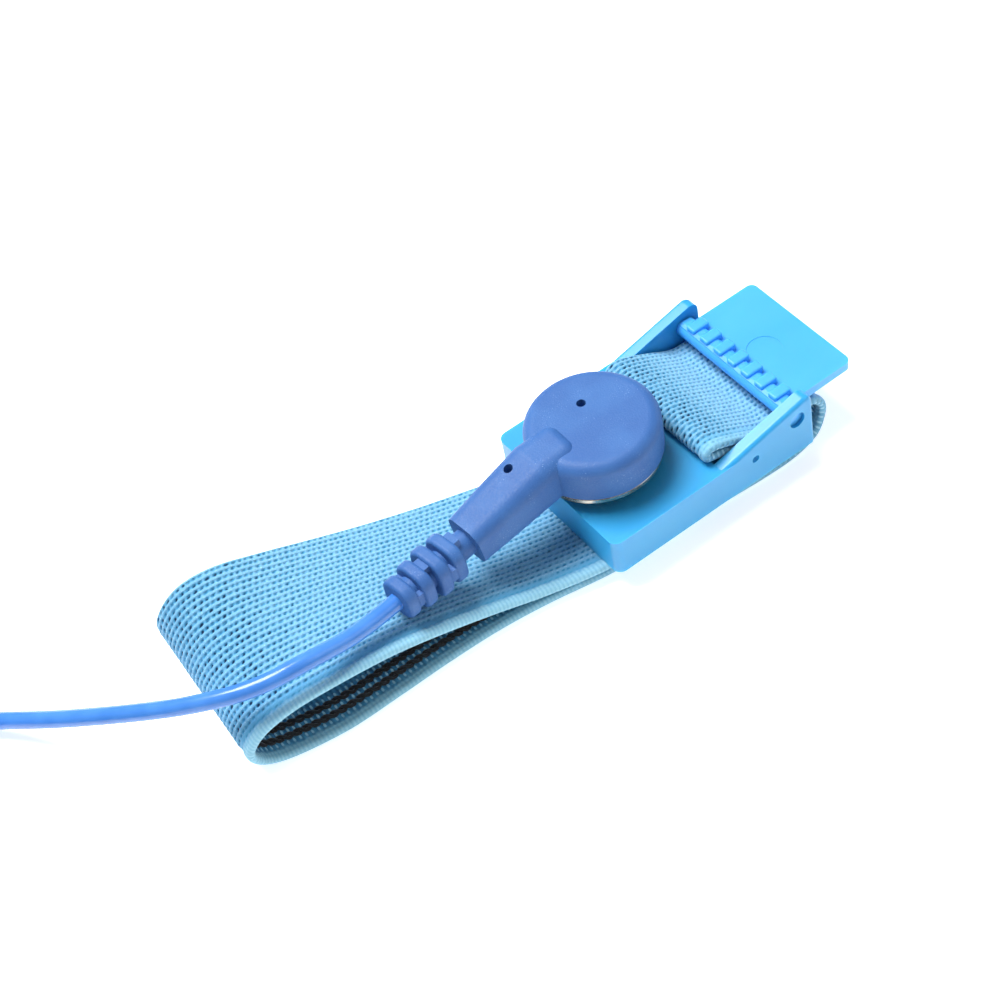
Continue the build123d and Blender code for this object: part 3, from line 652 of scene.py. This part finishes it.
LEAD_ROUTE = [
    RELIEF_END, RELIEF_END + RELIEF_AXIS * 6.0, (-37.2, 8.0, 9.9), (-44.6, 8.8, 9.9),
    (-51.3, 13.3, 8.2), (-57.7, 20.4, 5.0), (-64.5, 28.7, 1.4),
    (-69.8, 35.8, -1.2), (-77.7, 41.1, FLOOR_CORD_Z), (-87.0, 43.2, FLOOR_CORD_Z),
    (-96.5, 42.7, FLOOR_CORD_Z), (-105.7, 40.2, FLOOR_CORD_Z),
]
TAIL_ROUTE = [
    (-92.2, 38.4, COIL_TOP - COIL_PITCH / 2), (-99.3, 41.8, 4.4), (-107.2, 42.9, 2.9),
    PLUG_TAIL - PLUG_HEADING * 8.0, PLUG_TAIL,
]


def coil_place(track):
    """Radius and height of a ring of the coil: layers wind in, then out on top, and so on."""
    layer, place = divmod(track, COIL_ACROSS)
    if layer % 2:
        place = COIL_ACROSS - 1 - place
    outermost = COIL_MEAN_R + (COIL_ACROSS - 1) * COIL_PITCH / 2
    return np.array([outermost - place * COIL_PITCH, FLOOR_CORD_Z + layer * COIL_PITCH])


def coil_turns():
    """Rings beside and on each other; the last part of each turn crosses to the next ring."""
    points = []
    last = COIL_LAYERS * COIL_ACROSS - 1
    for index in range(round(COIL_TURNS * COIL_POINTS) + 1):
        wound = index / COIL_POINTS
        track = int(wound)
        share = max(wound - track - 1 + COIL_SHIFT, 0) / COIL_SHIFT
        share = share * share * (3 - 2 * share)
        radius, height = coil_place(track) * (1 - share) + coil_place(min(track + 1, last)) * share
        angle = COIL_START + wound * 2 * math.pi
        x = COIL_CENTRE[0] + radius * math.cos(angle)
        y = COIL_CENTRE[1] + radius * math.sin(angle)
        points.append((x, y, height))
    return points


def curve_piece(name, points, radius, material, body):
    """A round cord along a curve that the points, in millimetres, pull into shape."""
    curve = bpy.data.curves.new(name, "CURVE")
    curve.dimensions = "3D"
    curve.bevel_depth = radius * MM
    curve.bevel_resolution = 5
    curve.resolution_u = 6
    curve.use_fill_caps = True
    spline = curve.splines.new("NURBS")
    spline.points.add(len(points) - 1)
    for point, place in zip(spline.points, points):
        point.co = (*at(*place), 1)
    spline.order_u = 3
    spline.use_endpoint_u = True
    curve.materials.append(material)
    piece = bpy.data.objects.new(name, curve)
    bpy.context.collection.objects.link(piece)
    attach(piece, body)
    return piece


def lead_cord(material, tie):
    """The whole lead: the coil's own points take the place of the two routes' ends at the coil."""
    route = LEAD_ROUTE[:-1] + coil_turns() + TAIL_ROUTE[1:]
    piece = curve_piece("cord", route, CORD_R, material, "snap_head")
    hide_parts("cord_lead", "cord_coil", "cord_tail")


# ---------------------------------------------------------------- tie round the coil

# A flat strap round the coil's section, its ends tucked in below, and a lap that lies over its top.
TIE_WIDTH = 5.0
TIE_THICK = 0.5
TIE_SOFT = 0.3 * TIE_THICK
TIE_GAP = 0.30
TIE_BEND = 0.85
TIE_BOTTOM = TABLE_Z + 0.32
TIE_TOP = COIL_TOP + TIE_GAP
TIE_HALF = COIL_ACROSS * COIL_PITCH / 2 + TIE_GAP
TUCK = 1.0
TUCK_HEIGHT = 0.9
LAP_WIDTH = TIE_WIDTH - 0.5
LAP_START = TIE_BOTTOM + 3.6
LAP_END = TIE_HALF - 2.6
LAP_BEND = 1.1
LAP_SUNK = 0.02
ARC_STEPS = 6


def rounded_path(corners, radius):
    """The corners' line in (y, z) with each inner corner rounded over the radius on both sides."""
    corners = [np.array(c, float) for c in corners]
    path = [corners[0]]
    for before, corner, after in zip(corners, corners[1:], corners[2:]):
        start = corner + (before - corner) / np.linalg.norm(before - corner) * radius
        end = corner + (after - corner) / np.linalg.norm(after - corner) * radius
        for t in np.linspace(0, 1, ARC_STEPS):
            path.append(start * (1 - t) ** 2 + corner * 2 * t * (1 - t) + end * t ** 2)
    return np.array(path + [corners[-1]])


def webbing(path, width):
    """Points and faces of a flat band of the tie along x, following a (y, z) path, with soft edges."""
    along = np.gradient(path, axis=0)
    along /= np.linalg.norm(along, axis=1)[:, None]
    outward = np.stack([along[:, 1], -along[:, 0]], axis=1)
    x, z = width / 2, TIE_THICK / 2
    lower = [(-x, -z + TIE_SOFT), (-x + TIE_SOFT, -z), (x - TIE_SOFT, -z), (x, -z + TIE_SOFT)]
    section = lower + [(-across, -height) for across, height in lower]
    points = [(across, *(place + out * height))
              for place, out in zip(path, outward) for across, height in section]
    return points, ring_faces(len(path), len(section))


def tie_material():
    """Black hook-and-loop tape with a fine fuzz."""
    black, deep, light = (0.014, 0.014, 0.016), (0.004, 0.004, 0.005), (0.045, 0.046, 0.052)
    material = new_material("tie_loop", black, 0.85, Sheen_Weight=0.5, Specular_IOR_Level=0.25)
    fuzz = noise(material, object_place(material), 0.14, 4.0)
    join(material, "Base Color", ramp(material, fuzz, 0.32, 0.72, deep, light))
    join(material, "Roughness", ramp(material, fuzz, 0.3, 0.7, 0.75, 0.95))
    bump(material, fuzz, 0.12)
    return material


def coil_strap():
    """Hook-and-loop tie over the coil's turns, its free end lapped over the top and its ends tucked in."""
    tuck = [(-TIE_HALF + TUCK, TIE_BOTTOM), (-TIE_HALF, TIE_BOTTOM + TUCK_HEIGHT), (-TIE_HALF, TIE_TOP)]
    loop = rounded_path(tuck + [(-y, z) for y, z in reversed(tuck)], TIE_BEND)
    lap_y = -TIE_HALF - TIE_THICK
    lap_z = TIE_TOP + TIE_THICK - LAP_SUNK
    lap = rounded_path([(lap_y, LAP_START), (lap_y, lap_z), (LAP_END, lap_z)], LAP_BEND)
    points, faces = webbing(loop, TIE_WIDTH)
    lap_points, lap_faces = webbing(lap, LAP_WIDTH)
    faces += [[len(points) + i for i in face] for face in lap_faces]
    middle = np.array([COIL_CENTRE[0], COIL_CENTRE[1] - COIL_MEAN_R, 0])
    points = np.array(points + lap_points) + middle
    piece = mesh_piece("coil_strap", points, faces, tie_material(), "snap_head", smooth=False)
    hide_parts("coil_tie")
    return piece


# ---------------------------------------------------------------- stage

FLOOR_HALF = 3.0
FLOOR_WHITE = (0.93, 0.93, 0.93)
FLOOR_GLOW = 0.58
SKY_LOW = 0.14
SKY_HIGH = 0.46
# Round lamps aimed at the frame's origin: place and width in metres, power in watts.
KEY_LIGHT = ((-0.12, 0.28, 0.75), 0.50, 11.4)
FILL_LIGHT = ((0.5, -0.5, 0.5), 0.6, 1.0)
# Camera: lens, sensor and place in millimetres, turn in degrees.
CAMERA_LENS = 79.56
CAMERA_SENSOR = 36.0
CAMERA_PLACE = (-82.94, -142.97, 210.67)
CAMERA_TURN = (39.890, 8.646, -36.171)


def floor():
    """White ground that glows a little, so that only a faint shadow shows on it."""
    material = new_material("floor_white", FLOOR_WHITE, 0.8, Emission_Color=(1, 1, 1, 1),
                            Emission_Strength=FLOOR_GLOW)
    corners = [(x * FLOOR_HALF, y * FLOOR_HALF, 0) for x, y in ((-1, -1), (1, -1), (1, 1), (-1, 1))]
    mesh = bpy.data.meshes.new("floor")
    mesh.from_pydata(corners, [], [(0, 1, 2, 3)])
    mesh.materials.append(material)
    piece = bpy.data.objects.new("floor", mesh)
    bpy.context.collection.objects.link(piece)


def lamp(name, place, size, power):
    light = bpy.data.lights.new(name, "AREA")
    light.shape = "DISK"
    light.size = size
    light.energy = power
    piece = bpy.data.objects.new(name, light)
    piece.location = place
    piece.rotation_euler = (-Vector(place)).to_track_quat("-Z", "Y").to_euler()
    bpy.context.collection.objects.link(piece)


def sky():
    """White all round, brighter towards the top."""
    world = bpy.data.worlds.new("studio")
    world.use_nodes = True
    tree = world.node_tree
    place = tree.nodes.new("ShaderNodeTexCoord")
    split = tree.nodes.new("ShaderNodeSeparateXYZ")
    height = tree.nodes.new("ShaderNodeMapRange")
    background = tree.nodes["Background"]
    tree.links.new(place.outputs["Generated"], split.inputs[0])
    tree.links.new(split.outputs[2], height.inputs["Value"])
    height.inputs["To Min"].default_value = SKY_LOW
    height.inputs["To Max"].default_value = SKY_HIGH
    tree.links.new(height.outputs[0], background.inputs[1])
    background.inputs[0].default_value = (1, 1, 1, 1)
    bpy.context.scene.world = world


def camera():
    data = bpy.data.cameras.new("camera")
    data.lens = CAMERA_LENS
    data.sensor_width = CAMERA_SENSOR
    data.clip_start = 0.01
    piece = bpy.data.objects.new("camera", data)
    piece.location = at(*CAMERA_PLACE)
    piece.rotation_euler = [math.radians(turn) for turn in CAMERA_TURN]
    bpy.context.collection.objects.link(piece)
    bpy.context.scene.camera = piece


# ---------------------------------------------------------------- everything

def give(material, *nodes):
    """Gives a material to CAD nodes, in place of the one they came with."""
    for node in nodes:
        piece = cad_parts[node]
        piece.data.materials.clear()
        piece.data.materials.append(material)


camera()
sky()
lamp("key", *KEY_LIGHT)
lamp("fill", *FILL_LIGHT)
floor()
bpy.context.scene.view_settings.view_transform = "Standard"

band = knitted_band()
yarns = conductive_yarns()
jacket = cord_jacket()
lead_cord(jacket, coil_strap())

give(jacket, "cord_inner_end", "plug_cord_end")
give(soft_moulding(), "snap_moulding")
give(moulded_plastic("body_plastic", (0.030, 0.335, 0.650), (0.021, 0.292, 0.600), 0.32), "buckle_body")
give(moulded_plastic("lever_plastic", (0.070, 0.395, 0.870), (0.052, 0.350, 0.830), 0.31), "cam_lever")
give(moulded_plastic("plug_plastic", (0.055, 0.165, 0.480), (0.040, 0.130, 0.420), 0.42,
                     grain=0.03, glow=0.05), "banana_housing")
give(moulded_plastic("resistor_paint", (0.68, 0.52, 0.30), (0.60, 0.44, 0.24), 0.40), "resistor_body")
give(plated_metal("nickel", (0.58, 0.51, 0.43), (0.30, 0.23, 0.16), 0.22),
     "snap_socket", "snap_stud", "stud_eyelet")
give(plated_metal("clip_steel", (0.50, 0.48, 0.45), (0.37, 0.35, 0.32), 0.30),
     "banana_pin", "clip_lower_jaw", "clip_upper_jaw")
give(plated_metal("stainless", (0.66, 0.65, 0.63), (0.50, 0.48, 0.45), 0.28),
     "skin_plate", "socket_spring", "clip_rivet", "clip_spring")
give(plated_metal("brass", (0.78, 0.60, 0.28), (0.58, 0.42, 0.17), 0.27),
     "banana_spring", "socket_terminal", "lead_crimp")
give(plated_metal("tinned_wire", (0.74, 0.74, 0.73), (0.60, 0.60, 0.58), 0.34), "resistor_leads")
